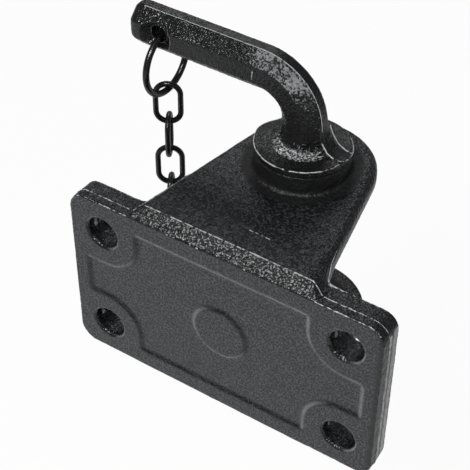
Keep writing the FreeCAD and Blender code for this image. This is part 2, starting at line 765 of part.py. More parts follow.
os.makedirs("parts", exist_ok=True)
for piece in pieces:
    piece.Shape.exportStep(f"parts/{piece.Label}.step")
    box = piece.Shape.BoundBox
    print(f"{piece.Label}: volume {piece.Shape.Volume:.1f}, z {box.ZMin:.2f} to {box.ZMax:.2f}")
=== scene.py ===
import math
from dataclasses import dataclass

import bpy
import numpy as np
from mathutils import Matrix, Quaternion, Vector, noise


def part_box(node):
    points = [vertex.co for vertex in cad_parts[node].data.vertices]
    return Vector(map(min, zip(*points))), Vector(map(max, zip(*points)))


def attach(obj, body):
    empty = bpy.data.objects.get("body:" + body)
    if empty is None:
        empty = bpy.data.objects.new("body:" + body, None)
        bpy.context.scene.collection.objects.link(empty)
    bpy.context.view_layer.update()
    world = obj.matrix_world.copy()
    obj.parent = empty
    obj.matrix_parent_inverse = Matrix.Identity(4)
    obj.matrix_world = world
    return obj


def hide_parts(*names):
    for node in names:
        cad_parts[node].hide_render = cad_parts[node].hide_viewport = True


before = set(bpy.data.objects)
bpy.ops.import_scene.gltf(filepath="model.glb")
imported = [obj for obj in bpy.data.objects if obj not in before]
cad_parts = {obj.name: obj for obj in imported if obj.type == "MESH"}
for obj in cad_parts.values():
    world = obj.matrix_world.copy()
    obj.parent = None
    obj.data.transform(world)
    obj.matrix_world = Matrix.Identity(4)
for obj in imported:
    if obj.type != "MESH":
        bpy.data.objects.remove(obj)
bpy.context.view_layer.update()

# Sizes in metres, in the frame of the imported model
MM = 0.001
EYE = Vector((215.9, -322.6, 413.0)) * MM
AIM = Vector((0.0, 12.2, 47.6)) * MM
CAMERA_ROLL = math.radians(0.39)
CAMERA_LENS = 102.05
FLOOR_LEVEL = -0.2
FLOOR_HALF = 4.0


def mm(*lengths):
    """Lengths in millimetres as a tuple of metres."""
    return tuple(length * MM for length in lengths)


def make_camera():
    """The camera at the photograph's place, turned a little about its own axis."""
    data = bpy.data.cameras.new("camera")
    data.lens = CAMERA_LENS
    data.sensor_width = 36.0
    data.clip_start = 0.01
    data.clip_end = 50.0
    camera = bpy.data.objects.new("camera", data)
    camera.location = EYE
    camera.rotation_mode = "QUATERNION"
    facing = (AIM - EYE).to_track_quat("-Z", "Y")
    camera.rotation_quaternion = facing @ Quaternion((0.0, 0.0, 1.0), CAMERA_ROLL)
    bpy.context.scene.collection.objects.link(camera)
    bpy.context.scene.camera = camera


# The forged pin's sizes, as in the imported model
PIN_Y = 65.5 * MM
SEAT = 57.9 * MM
COLLAR_TOP = 61.2 * MM
COLLAR_RADIUS = 21.5 * MM
BAR_LOW = 68.0 * MM
BAR_AXIS = 91.5 * MM
BAR_HALF_WIDE = 8.2 * MM
BAR_HALF_DEEP = 9.9 * MM
BAR_BEVEL = 5.8 * MM
BAR_BEND = 20.0 * MM
BAR_END = 85.5 * MM
EYELET_X = -70.6 * MM
EYELET_BORE = 4.3 * MM
EYELET_MOUTH = 8.1 * MM

# The casting's sizes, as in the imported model
GATE_RUN = 6.0 * MM
GATE_FOOT = 44.2 * MM
JAW_TOP = 48.5 * MM
PLATE_HALF_WIDE = 76.5 * MM
PLATE_HALF_TALL = 44.25 * MM
PLATE_CORNER = 8.0 * MM
PLATE_THICK = 12.3 * MM
PARTING = 4.4 * MM
DRAFT = math.tan(math.radians(3.0))
BORE = 15.5 * MM
BOLT_X = 60.0 * MM
BOLT_Z = 27.5 * MM


# Node helpers
class Shader:
    """Builds the nodes of one material, with short calls for the nodes that repeat."""

    def __init__(self, name):
        self.material = bpy.data.materials.new(name)
        self.material.use_nodes = True
        self.tree = self.material.node_tree
        self.principled = self.tree.nodes["Principled BSDF"]
        self.place = self.tree.nodes.new("ShaderNodeTexCoord").outputs["Object"]

    def link(self, source, socket):
        if hasattr(source, "is_linked"):
            self.tree.links.new(source, socket)
        else:
            socket.default_value = source

    def noise(self, scale, detail=4.0, rough=0.6):
        node = self.tree.nodes.new("ShaderNodeTexNoise")
        node.inputs["Scale"].default_value = scale
        node.inputs["Detail"].default_value = detail
        node.inputs["Roughness"].default_value = rough
        self.link(self.place, node.inputs["Vector"])
        return node.outputs["Fac"]

    def ramp(self, value, low, high, dark=0.0, light=1.0):
        """Stretch low..high of a value to dark..light, and hold it at both ends."""
        node = self.tree.nodes.new("ShaderNodeMapRange")
        self.link(value, node.inputs["Value"])
        node.inputs["From Min"].default_value = low
        node.inputs["From Max"].default_value = high
        node.inputs["To Min"].default_value = dark
        node.inputs["To Max"].default_value = light
        return node.outputs["Result"]

    def band(self, value, limits, after=0.0):
        """0 before the first limit, 1 between the inner two, and a last value after the fourth."""
        start, full, fall, end = limits
        return self.product(self.ramp(value, start, full), self.ramp(value, fall, end, 1.0, after))

    def math(self, operation, first, second):
        node = self.tree.nodes.new("ShaderNodeMath")
        node.operation = operation
        self.link(first, node.inputs[0])
        self.link(second, node.inputs[1])
        return node.outputs["Value"]

    def product(self, first, *others):
        for other in others:
            first = self.math("MULTIPLY", first, other)
        return first

    def blend(self, share, first, second):
        node = self.tree.nodes.new("ShaderNodeMix")
        node.data_type = "RGBA"
        self.link(share, node.inputs["Factor"])
        self.link(first, node.inputs["A"])
        self.link(second, node.inputs["B"])
        return node.outputs["Result"]

    def edges(self, radius, low, high):
        """1 on convex and concave edges within a radius, 0 on flat and gently curved faces."""
        bevel = self.tree.nodes.new("ShaderNodeBevel")
        bevel.samples = 6
        bevel.inputs["Radius"].default_value = radius
        geometry = self.tree.nodes.new("ShaderNodeNewGeometry")
        dot = self.tree.nodes.new("ShaderNodeVectorMath")
        dot.operation = "DOT_PRODUCT"
        self.link(bevel.outputs["Normal"], dot.inputs[0])
        self.link(geometry.outputs["Normal"], dot.inputs[1])
        return self.ramp(dot.outputs["Value"], low, high, 1.0, 0.0)

    def crests(self, low, high):
        """How far a fine mesh bulges out (0.5 is flat), stretched from low..high to 0..1."""
        geometry = self.tree.nodes.new("ShaderNodeNewGeometry")
        return self.ramp(geometry.outputs["Pointiness"], low, high)

    def part_of(self, vector, axis):
        split = self.tree.nodes.new("ShaderNodeSeparateXYZ")
        self.link(vector, split.inputs["Vector"])
        return split.outputs[axis]

    def along(self, axis):
        """The place along an axis of the object."""
        return self.part_of(self.place, axis)

    def facing(self, axis):
        """How far the surface faces along an axis of the object, from -1 to 1."""
        geometry = self.tree.nodes.new("ShaderNodeNewGeometry")
        return self.part_of(geometry.outputs["Normal"], axis)

    def reach_from_pin(self):
        """The distance from the axis of the hitch pin."""
        across = self.along("X")
        ahead = self.math("SUBTRACT", self.along("Y"), PIN_Y)
        total = self.math("ADD", self.product(across, across), self.product(ahead, ahead))
        return self.math("SQRT", total, 0.0)

    def bump(self, height, distance):
        node = self.tree.nodes.new("ShaderNodeBump")
        node.inputs["Distance"].default_value = distance
        node.inputs["Strength"].default_value = 1.0
        self.link(height, node.inputs["Height"])
        return node.outputs["Normal"]

    def finish(self, colour, rough, normal, specular):
        self.link(colour, self.principled.inputs["Base Color"])
        self.link(rough, self.principled.inputs["Roughness"])
        self.link(normal, self.principled.inputs["Normal"])
        self.principled.inputs["Metallic"].default_value = 0.0
        self.principled.inputs["Specular IOR Level"].default_value = specular
        return self.material


# Colours
BLACK = (0.0032, 0.0033, 0.0035, 1.0)
SOFT_BLACK = (0.0065, 0.0067, 0.0071, 1.0)
DUST_AND_SHEEN = (0.052, 0.057, 0.063, 1.0)
WALL_HIGHLIGHT = (0.15, 0.155, 0.162, 1.0)
# Colour of worn paint and of painted highlights on edges and crests
WEAR_AND_HIGHLIGHT = (0.30, 0.302, 0.308, 1.0)
# Colour of painted highlights on the flange's right side and round the collar foot
HIGHLIGHT_GREY = (0.62, 0.62, 0.63, 1.0)
SCALE_HOLLOW = (0.02, 0.02, 0.0205, 1.0)
SCALE_HIGHLIGHT = (0.5, 0.505, 0.51, 1.0)
GATE_METAL_AND_GLINT = (0.34, 0.342, 0.346, 1.0)
WIRE_BLACK = (0.004, 0.004, 0.0045, 1.0)
WIRE_RUBBED = (0.02, 0.02, 0.021, 1.0)

# Noise scales of the materials, in cells per metre
DRIFT_SCALE = 28.0
CLUSTER_SCALE = 95.0
MOTTLE_SCALE = 170.0
WEAR_SCALE = 230.0
WIRE_SCALE = 420.0
HIGHLIGHT_STREAK_SCALE = 500.0
DASH_SCALE = 620.0
GRAIN_SCALE = 1000.0
CRUMB_SCALE = 1300.0
FINE_SCALE = 1600.0

# Where paint is worn and painted highlights lie: the bevel's radius, how far it turns the surface, and how
# far the mesh bulges
EDGE_RADIUS = 0.7 * MM
EDGE_TURN = (0.82, 0.96)
CREST = (0.50, 0.54)

# Masks of the casting: the places, or the ways a face looks, between which each of them comes and goes
UPWARD = (0.6, 0.9)
FACE_ON = (-0.97, -0.999)
WALL_DOWN = (-0.12, -0.36)
WALL_SHALLOW = (-0.60, -0.80)
RIGHT_SIDE = (0.93, 0.98)
FRONT_HIGHLIGHT_BAND = mm(4.2, 4.7, 6.0, 6.6)
REAR_HIGHLIGHT_BAND = mm(7.6, 8.2, 10.8, 11.6)
BORDER_X = mm(73.5, 74.8)
BORDER_DEPTH = mm(4.0, 4.4)
BOSS_FOOT = mm(20.7, 21.2, 25.5, 29.0)

# Masks of the forging
BEVEL_LEAN = (0.48, 0.60, 0.80, 0.90)
PAST_EYELET = mm(-65.0, -59.0)
BEND_X = mm(-24.0, -20.0)
BEND_Z = mm(88.0, 91.0)
BARE_BELOW = mm(82.0, 89.0)
SCALE_REACH = mm(9.5, 10.5, 12.8, 14.6)
SCALE_Z = mm(63.0, 64.5)
SCALE_Y = mm(60.0, 62.0)
SCALE_X = mm(-12.0, -4.0)


def black_paint(name, grain_size, rough, extra):
    """Black paint over a grainy surface: uneven in tone, with worn paint and painted highlights on rubbed
    edges.

    The extra step may change the tone, the height of the grain and the roughness before they are used.
    """
    shader = Shader(name)
    grain = shader.noise(1.0 / grain_size, 1.0, 0.5)
    lumps = shader.noise(0.32 / grain_size, 1.0, 0.5)
    height = shader.math("ADD", grain, shader.product(lumps, 1.5))
    drift = shader.noise(DRIFT_SCALE, 4.0, 0.55)
    tone = shader.blend(shader.ramp(drift, 0.35, 0.65), BLACK, SOFT_BLACK)
    gloss = shader.ramp(drift, 0.3, 0.7, rough - 0.03, rough + 0.05)
    tone, height, gloss = extra(shader, tone, height, gloss)
    # Worn paint and painted highlights on edges and crests, in patches
    patches = shader.ramp(shader.noise(WEAR_SCALE), 0.36, 0.56, 0.15, 1.0)
    worn = shader.product(shader.edges(EDGE_RADIUS, *EDGE_TURN), shader.crests(*CREST), patches)
    colour = shader.blend(worn, tone, WEAR_AND_HIGHLIGHT)
    return shader.finish(colour, gloss, shader.bump(height, 0.5 * MM), specular=0.5)


def sand_cast(shader, tone, height, gloss):
    """The casting: dust with painted glints and sheen, painted highlights on relief walls and in bands on its
    right side, painted shade on a matte ring round the boss.
    """
    # Dust with painted glints on the tops and, finer, dust with a painted reflection on the mounting face
    grain = shader.noise(GRAIN_SCALE, 1.0, 0.5)
    upward = shader.ramp(shader.facing("Z"), *UPWARD)
    # Dust and painted glints on the faces that look up
    dust_and_glints = shader.product(upward, shader.ramp(grain, 0.46, 0.66, 0.0, 0.62))
    tone = shader.blend(dust_and_glints, tone, DUST_AND_SHEEN)
    # A finer mottle on the mounting face, part dust and part painted reflection
    toward_face = shader.facing("Y")
    face = shader.ramp(toward_face, *FACE_ON)
    drift = shader.ramp(shader.noise(MOTTLE_SCALE, 3.0, 0.6), 0.3, 0.7, -0.04, 0.04)
    mottle = shader.ramp(shader.math("ADD", grain, drift), 0.44, 0.62)
    tone = shader.blend(face, tone, shader.blend(mottle, SOFT_BLACK, DUST_AND_SHEEN))

    # Painted highlight on the walls of the relief that look down or to the left
    downward = shader.ramp(shader.facing("Z"), *WALL_DOWN)
    leftward = shader.ramp(shader.facing("X"), *WALL_DOWN)
    highlit_wall = shader.math("MAXIMUM", downward, leftward)
    tone = shader.blend(shader.product(highlit_wall, shader.ramp(toward_face, *WALL_SHALLOW)), tone, WALL_HIGHLIGHT)

    # Painted highlights in two streaky bands on the right side of the flange, with a painted shadow border
    # before them
    depth = shader.along("Y")
    front = shader.band(depth, FRONT_HIGHLIGHT_BAND)
    rear = shader.band(depth, REAR_HIGHLIGHT_BAND, after=0.25)
    side = shader.ramp(shader.facing("X"), *RIGHT_SIDE)
    streaks = shader.ramp(shader.noise(HIGHLIGHT_STREAK_SCALE, 3.0, 0.6), 0.35, 0.55, 0.35, 1.0)
    tone = shader.blend(shader.product(shader.math("MAXIMUM", front, rear), side, streaks), tone, HIGHLIGHT_GREY)
    # Painted shadow along the right edge of the mounting face
    before = shader.ramp(depth, *BORDER_DEPTH, 1.0, 0.0)
    shade_border = shader.product(shader.ramp(shader.along("X"), *BORDER_X), before)
    tone = shader.blend(shade_border, tone, BLACK)

    height = shader.product(height, shader.ramp(face, 0.0, 1.0, 1.0, 0.35))
    # Painted shade, with a matte finish, on the jaw round the foot of the boss
    foot = shader.band(shader.reach_from_pin(), BOSS_FOOT)
    tone = shader.blend(foot, tone, BLACK)
    return tone, height, shader.math("MAXIMUM", gloss, shader.product(foot, 0.55))


def scaly_bevels(shader, tone, height, gloss):
    """The forging: crumbs of scale with painted glints along its bevels, painted highlight speckles round its
    foot, and a painted highlight patch on the bend.
    """
    lean = shader.math("ABSOLUTE", shader.facing("Y"), 0.0)
    across = shader.along("X")
    up = shader.along("Z")
    # Crumbs of scale along the bevels, coloured as wear with painted glints
    bevel = shader.product(shader.band(lean, BEVEL_LEAN), shader.ramp(across, *PAST_EYELET))
    # More crumbs on the bend: a painted highlight patch
    bend_highlight = shader.product(shader.ramp(across, *BEND_X), shader.ramp(up, *BEND_Z))
    scale = shader.noise(GRAIN_SCALE, 1.0, 0.5)
    clusters = shader.ramp(shader.noise(CLUSTER_SCALE, 2.0, 0.5), 0.35, 0.65, -0.13, 0.01)
    thinned = shader.math("ADD", scale, clusters)
    thinned = shader.math("ADD", thinned, shader.product(bend_highlight, 0.19))
    thinned = shader.math("SUBTRACT", thinned, shader.ramp(up, *BARE_BELOW, 0.10, 0.0))
    crumbs = shader.product(bevel, shader.ramp(thinned, 0.55, 0.65, 0.0, 0.75))
    tone = shader.blend(crumbs, tone, WEAR_AND_HIGHLIGHT)

    # Painted highlight speckles over the scale round the front of the collar foot
    low = shader.ramp(up, *SCALE_Z, 1.0, 0.0)
    in_front = shader.ramp(shader.along("Y"), *SCALE_Y, 1.0, 0.0)
    rightward = shader.ramp(across, *SCALE_X, 0.35, 1.0)
    foot = shader.product(shader.band(shader.reach_from_pin(), SCALE_REACH), low, in_front, rightward)
    tone = shader.blend(shader.product(foot, shader.ramp(scale, 0.46, 0.58, 0.0, 0.8)), tone, HIGHLIGHT_GREY)

    calm = shader.ramp(shader.math("MAXIMUM", bevel, foot), 0.0, 1.0, 0.4, 1.0)
    height = shader.math("ADD", height, shader.product(scale, 2.2))
    return tone, shader.product(height, calm), gloss


def scale_with_highlights(name, low, high, noise_scale=DASH_SCALE):
    """Raised threads and scale: black in the hollows, worn and with painted highlights in bright dashes."""
    shader = Shader(name)
    rubbed = shader.ramp(shader.noise(noise_scale, 2.0, 0.5), low, high)
    colour = shader.blend(rubbed, SCALE_HOLLOW, SCALE_HIGHLIGHT)
    gloss = shader.ramp(rubbed, 0.0, 1.0, 0.35, 0.25)
    normal = shader.bump(shader.noise(FINE_SCALE, 2.0, 0.6), 0.2 * MM)
    return shader.finish(colour, gloss, normal, specular=0.7)


def gate_scale_paint(name):
    """The broken gate: glossy black hollows between bright crumbs of bare metal with painted glints."""
    shader = Shader(name)
    crumbs = shader.noise(CRUMB_SCALE, 1.0, 0.5)
    bright = shader.ramp(crumbs, 0.54, 0.64)
    colour = shader.blend(bright, BLACK, GATE_METAL_AND_GLINT)
    gloss = shader.ramp(bright, 0.0, 1.0, 0.35, 0.25)
    return shader.finish(colour, gloss, shader.bump(crumbs, 0.9 * MM), specular=0.5)


def wire_finish(name):
    """Blackened wire with drawing marks and rubbed spots."""
    shader = Shader(name)
    rubbed = shader.ramp(shader.noise(WIRE_SCALE, 3.0, 0.6), 0.56, 0.74)
    colour = shader.blend(rubbed, WIRE_BLACK, WIRE_RUBBED)
    gloss = shader.ramp(rubbed, 0.0, 1.0, 0.24, 0.20)
    normal = shader.bump(shader.noise(CRUMB_SCALE, 2.0, 0.6), 0.12 * MM)
    return shader.finish(colour, gloss, normal, specular=0.6)


def assign(piece, material):
    piece.data.materials.clear()
    piece.data.materials.append(material)


def dress_cad_nodes(wire):
    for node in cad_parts:
        assign(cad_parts[node], wire)


def new_piece(name, vertices, faces, material):
    mesh = bpy.data.meshes.new(name)
    mesh.from_pydata([tuple(place) for place in vertices], [], faces)
    mesh.validate()
    mesh.update()
    piece = bpy.data.objects.new(name, mesh)
    bpy.context.scene.collection.objects.link(piece)
    mesh.shade_smooth()
    assign(piece, material)
    return piece


def ripple(places, size, seed):
    """Smooth noise from -1 to 1 at each place, with lumps of about that size."""
    shift = Vector((seed * 7.31, seed * 3.17, seed * 5.77))
    return np.array([noise.noise(Vector(place) / size + shift) for place in places])


def swells(places, layers):
    """Layers of ripples added up, each given as its lump size, its height and its seed."""
    return sum(ripple(places, size, seed) * height for size, height, seed in layers)


def rise(values, low, high):
    """A smooth step from 0 at low to 1 at high."""
    share = np.clip((values - low) / (high - low), 0.0, 1.0)
    return share * share * (3.0 - 2.0 * share)


def fall(values, low, high):
    """A smooth step from 1 at low to 0 at high."""
    return 1.0 - rise(values, low, high)


def remeshed_copy(name, node, voxel):
    """A new object with an even mesh over a CAD node."""
    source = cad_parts[node]
    piece = bpy.data.objects.new(name, source.data.copy())
    bpy.context.scene.collection.objects.link(piece)
    remesh = piece.modifiers.new("even", "REMESH")
    remesh.mode = "VOXEL"
    remesh.voxel_size = voxel
    graph = bpy.context.evaluated_depsgraph_get()
    even = bpy.data.meshes.new_from_object(piece.evaluated_get(graph))
    piece.modifiers.clear()
    piece.data = even
    even.shade_smooth()
    return piece


def mesh_arrays(mesh):
    """The places of a mesh's vertices, and the pairs of vertices that its edges join."""
    places = np.empty(len(mesh.vertices) * 3)
    mesh.vertices.foreach_get("co", places)
    edges = np.empty(len(mesh.edges) * 2, dtype=np.int64)
    mesh.edges.foreach_get("vertices", edges)
    return places.reshape(-1, 3), edges.reshape(-1, 2)


def vertex_normals(mesh):
    normals = np.empty(len(mesh.vertices) * 3)
    mesh.vertices.foreach_get("normal", normals)
    return normals.reshape(-1, 3)


def neighbour_sums(places, edges):
    total = np.zeros_like(places)
    np.add.at(total, edges[:, 0], places[edges[:, 1]])
    np.add.at(total, edges[:, 1], places[edges[:, 0]])
    return total


def relax(places, edges, rounds):
    """Even out voxel steps without shrinking: each round smooths, then pushes back."""
    degree = np.bincount(edges.ravel(), minlength=len(places))[:, None]
    for _ in range(rounds):
        for step in (0.5, -0.52):
            places = places + (neighbour_sums(places, edges) / degree - places) * step
    return places


def settle(places, edges, weight, rounds):
    """Smooth part of a mesh, by the weight at each vertex, until steps turn into soft slopes."""
    touched = weight > 0.0
    local = edges[touched[edges[:, 0]] | touched[edges[:, 1]]]
    degree = np.maximum(np.bincount(local.ravel(), minlength=len(places)), 1)[:, None]
    pull = (0.6 * weight)[:, None]
    for _ in range(rounds):
        places = places + (neighbour_sums(places, local) / degree - places) * pull
    return places


def write_places(mesh, places):
    mesh.vertices.foreach_set("co", places.ravel())
    mesh.update()


# Threads of raised metal
@dataclass
class Thread:
    """A thread along a broken line: its corners and sizes in mm, and the two ways its section points."""

    name: str
    seed: int
    paint: str
    height: float
    half_wide: float
    outward: tuple
    sideways: tuple
    corners: tuple
    step: float = 0.4
    sink: float = 0.3
    wild: float = 1.3


def line_points(corners, step):
    """Points along a broken line of corners in mm, close enough to follow it."""
    corners = [Vector(corner) * MM for corner in corners]
    points = []
    for start, finish in zip(corners, corners[1:]):
        parts = max(1, round((finish - start).length / step))
        points += [start.lerp(finish, part / parts) for part in range(parts)]
    return points + [corners[-1]]


def ragged_thread(name, middle, outward, sideways, height, half_wide, seed, material,
                  body="jaw_body", closed=False, sink=0.3 * MM, wild=1.3):
    """A thread of metal that stands up along a line, uneven in height and width, its foot in the body."""
    middle = np.array(middle)
    outward = np.broadcast_to(np.array(outward), middle.shape)
    sideways = np.broadcast_to(np.array(sideways), middle.shape)
    total = len(middle)
    section = 6
    swell = 0.5 + wild * swells(middle, ((1.3 * MM, 1.0, seed), (5.0 * MM, 0.3, seed + 1)))
    swell = np.clip(swell, 0.05, 1.5)
    sway = ripple(middle, 3.0 * MM, seed + 2) * 0.1 * MM
    vertices = []
    for number in range(total):
        for part in range(section):
            turn = math.pi * part / (section - 1)
            lift = math.sin(turn) * (height * swell[number] + sink) - sink
            drift = sway[number] - math.cos(turn) * half_wide * (0.7 + 0.3 * swell[number])
            vertices.append(middle[number] + outward[number] * lift + sideways[number] * drift)
    lowest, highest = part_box(body)
    vertices = np.clip(np.array(vertices), lowest, highest)
    faces = []
    for number in range(total if closed else total - 1):
        after = (number + 1) % total
        for part in range(section):
            beside = (part + 1) % section
            faces.append((number * section + part, number * section + beside,
                          after * section + beside, after * section + part))
    if not closed:
        faces.append(tuple(range(section)))
        faces.append(tuple(reversed(range((total - 1) * section, total * section))))
    piece = new_piece(name, vertices, faces, material)
    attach(piece, body)


def lay_threads(threads, body, paints):
    for thread in threads:
        middle = line_points(thread.corners, thread.step * MM)
        ragged_thread(thread.name, middle, thread.outward, thread.sideways, thread.height * MM,
                      thread.half_wide * MM, thread.seed, paints[thread.paint], body,
                      sink=thread.sink * MM, wild=thread.wild)


# Forged pin
PIN_VOXEL = 0.48 * MM
FORGED = (SEAT + 0.2 * MM, SEAT + 1.5 * MM)
BAR = (COLLAR_TOP + 3.0 * MM, BAR_LOW + 2.0 * MM)
FOOT_UP = (SEAT + 2.5 * MM, COLLAR_TOP + 0.3 * MM)
FOOT_OUT = mm(13.0, 16.0)
COLLAR_UP = (SEAT, COLLAR_TOP - 0.3 * MM)
COLLAR_DONE = (COLLAR_TOP + 0.4 * MM, BAR_LOW)
PIN_SWELLS = ((12.0 * MM, 0.12, 1), (3.4 * MM, 0.03, 2))
MOUTH_DEEP = 4.0 * MM
MOUTH_WORN = 1.2 * MM
FALL_SLOPE = 0.24
FALL_START = -3.0 * MM
FALL_MOST = 2.9 * MM


def collar_fall(behind):
    """How far the top of the collar drops at a distance behind the pin axis."""
    return np.clip(FALL_SLOPE * (behind - FALL_START), 0.0, FALL_MOST)


def forge_pin(material):
    """The pin as it comes from the die: uneven faces, scaly bevels, a collar that falls away at the back."""
    piece = remeshed_copy("forged_pin", "hitch_pin", PIN_VOXEL)
    mesh = piece.data
    places, edges = mesh_arrays(mesh)
    places = relax(places, edges, 1)
    write_places(mesh, places)
    normals = vertex_normals(mesh)
    lowest, highest = (np.array(corner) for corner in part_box("hitch_pin"))

    height = places[:, 2]
    bar = rise(height, *BAR)
    lean = np.abs(normals[:, 1])
    bevel = bar * rise(lean, 0.5, 0.64) * fall(lean, 0.80, 0.9)
    reach = np.hypot(places[:, 0], places[:, 1] - PIN_Y)
    foot = rise(height, *FOOT_UP) * (1.0 - bar) * fall(reach, *FOOT_OUT)
    crumbs = np.clip(ripple(places, 1.2 * MM, 3), -0.35, 0.35)
    push = rise(height, *FORGED) * swells(places, PIN_SWELLS) + (bevel * 0.22 + foot * 0.9) * crumbs
    places = places + normals * (push * MM)[:, None]

    # The mouth of the handle hole is worn wide on the side that the ring lies against
    off_axis = np.hypot(places[:, 0] - EYELET_X, places[:, 2] - BAR_AXIS)
    into = places[:, 1] - (PIN_Y - BAR_HALF_WIDE)
    front = (off_axis < EYELET_MOUTH) & (into < MOUTH_DEEP) & (off_axis > EYELET_BORE)
    worn = np.clip(EYELET_MOUTH - off_axis - into, 0.0, MOUTH_WORN)
    places[:, 1] += np.where(front, worn, 0.0)

    on_collar = rise(height, *COLLAR_UP) * fall(height, *COLLAR_DONE)
    places[:, 2] -= collar_fall(places[:, 1] - PIN_Y) * on_collar
    places = np.clip(places, lowest, highest)
    write_places(mesh, places)
    assign(piece, material)
    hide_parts("hitch_pin")
    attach(piece, "hitch_pin")


# Threads of the forging
THREAD_STEP = 0.4 * MM
RIM_INSET = 0.32 * MM
RIM_SUNK = 0.2 * MM
CREST_CLEAR = 6.0 * MM
CREST_OUT = 0.92
CREST_LEAN = 0.38
MOUTH_TURNS = range(-30, 135, 3)

PIN_THREADS = (
    Thread("rib_foot_1", 81, "rim", 0.22, 0.28, (0.75, 0.0, 0.66), (0.0, 1.0, 0.0), (
        (10.0, 69.6, 71.0), (11.6, 69.8, 66.8), (14.6, 70.0, 62.6), (17.8, 70.2, 60.6), (20.6, 70.6, 59.9),
    ), sink=0.4),
    Thread("rib_foot_2", 82, "rim", 0.22, 0.28, (0.75, 0.0, 0.66), (0.0, 1.0, 0.0), (
        (11.2, 61.4, 66.8), (14.0, 61.3, 63.0), (17.4, 61.4, 61.2), (20.4, 61.7, 61.2),
    ), sink=0.4),
    Thread("foot_scale_1", 95, "foot", 0.5, 0.9, (0.0, -0.35, 0.94), (0.0, 0.94, 0.35), (
        (-9.5, 56.5, 61.9), (-6.0, 53.6, 61.6), (-2.6, 52.7, 61.5), (1.4, 52.8, 61.5),
        (5.4, 53.8, 61.6), (8.1, 56.3, 61.8), (9.8, 59.5, 62.4), (11.4, 61.5, 63.2),
    ), step=0.3, sink=0.5, wild=2.6),
    Thread("foot_scale_2", 98, "foot", 0.4, 0.9, (0.0, -0.35, 0.94), (0.0, 0.94, 0.35), (
        (-7.5, 57.6, 63.0), (-2.0, 54.9, 62.6), (3.0, 55.1, 62.6), (7.0, 57.6, 63.0),
    ), step=0.3, sink=0.5, wild=2.6),
    Thread("foot_scale_3", 101, "foot", 0.35, 0.4, (0.0, -0.35, 0.94), (0.0, 0.94, 0.35), (
        (-9.0, 60.2, 64.0), (-11.2, 61.4, 62.0), (-13.0, 63.6, 61.0),
    ), step=0.3, sink=0.5, wild=2.6),
    Thread("foot_scale_4", 104, "foot", 0.35, 0.4, (0.0, -0.35, 0.94), (0.0, 0.94, 0.35), (
        (-15.4, 64.2, 60.8), (-15.2, 67.5, 60.0), (-15.0, 70.0, 59.4),
    ), step=0.3, sink=0.5, wild=2.6),
    Thread("die_mark", 91, "rim", 0.3, 0.3, (0.0, -1.0, 0.0), (1.0, 0.0, 0.0), (
        (-21.3, 57.4, 93.4), (-21.7, 57.4, 87.8),
    ), step=0.25),
)


def collar_rim(material):
    """The rim of the collar, rubbed and with a painted highlight, which drops with the collar's top."""
    radius = COLLAR_RADIUS - RIM_INSET
    count = round(2.0 * math.pi * radius / THREAD_STEP)
    middle = []
    outward = []
    for number in range(count):
        angle = 2.0 * math.pi * number / count
        behind = radius * math.sin(angle)
        middle.append((radius * math.cos(angle), PIN_Y + behind, COLLAR_TOP - RIM_SUNK - collar_fall(behind)))
        outward.append((math.cos(angle), math.sin(angle), 0.0))
    ragged_thread("collar_rim", middle, (0.0, 0.0, 1.0), outward, 0.3 * MM, 0.34 * MM, 71, material,
                  "hitch_pin", closed=True, wild=0.4)


def handle_crest(material):
    """The edge between the top of the handle and its front bevel, rubbed and with a painted highlight, from
    the end round the bend.
    """
    crest_y = PIN_Y - BAR_HALF_WIDE + BAR_BEVEL
    outer = BAR_BEND + BAR_HALF_DEEP
    middle = []
    outward = []
    straight = round((BAR_END - BAR_BEND - CREST_CLEAR) / THREAD_STEP)
    for number in range(straight):
        middle.append((CREST_CLEAR - BAR_END + number * THREAD_STEP, crest_y, BAR_AXIS + BAR_HALF_DEEP))
        outward.append((0.0, -CREST_LEAN, CREST_OUT))
    turns = round(0.5 * math.pi * outer / THREAD_STEP)
    for number in range(turns + 1):
        angle = 0.5 * math.pi * number / turns
        across = outer * math.sin(angle) - BAR_BEND
        above = outer * math.cos(angle) + BAR_AXIS - BAR_BEND
        middle.append((across, crest_y, above))
        outward.append((CREST_OUT * math.sin(angle), -CREST_LEAN, CREST_OUT * math.cos(angle)))
    ragged_thread("handle_crest", middle, outward, (0.0, CREST_OUT, CREST_LEAN), 0.1 * MM, 0.22 * MM, 75,
                  material, "hitch_pin", sink=0.25 * MM, wild=0.8)


def mouth_rim(material):
    """The thin rim, with a painted highlight, along the upper right of the worn mouth, over the handle's face
    and its bevel.
    """
    middle = []
    for turn in MOUTH_TURNS:
        across = EYELET_X + EYELET_MOUTH * math.cos(math.radians(turn))
        above = EYELET_MOUTH * math.sin(math.radians(turn))
        back = max(0.0, above - BAR_HALF_DEEP + BAR_BEVEL)
        middle.append((across, PIN_Y - BAR_HALF_WIDE + back, BAR_AXIS + above))
    ragged_thread("mouth_rim", middle, (0.0, -0.8, 0.6), (0.7, 0.4, -0.6), 0.08 * MM, 0.16 * MM, 77, material,
                  "hitch_pin", wild=0.6)


# Casting
JAW_VOXEL = 0.6 * MM
RELIEF_DEPTH = mm(1.6, 2.4)
BOLT_CLEAR = mm(10.0, 11.5)
RELIEF_SIDE = mm(71.0, 73.0)
RELIEF_LEVEL = mm(37.0, 39.0)
SHOULDER_IN = mm(35.0, 39.0)
SHOULDER_OUT = mm(48.0, 52.0)
SHOULDER_FRONT = mm(0.6, 2.0)
SHOULDER_BACK = mm(17.0, 26.0)
SHOULDER_UP = mm(41.5, 42.8)
FACE_DEPTH = mm(1.3, 2.0)
FACE_CALM = 0.88
RELIEF_ROUNDS = 9
SHOULDER_ROUNDS = 70
JAW_SWELLS = ((11.0 * MM, 0.16, 41), (2.6 * MM, 0.075, 42))


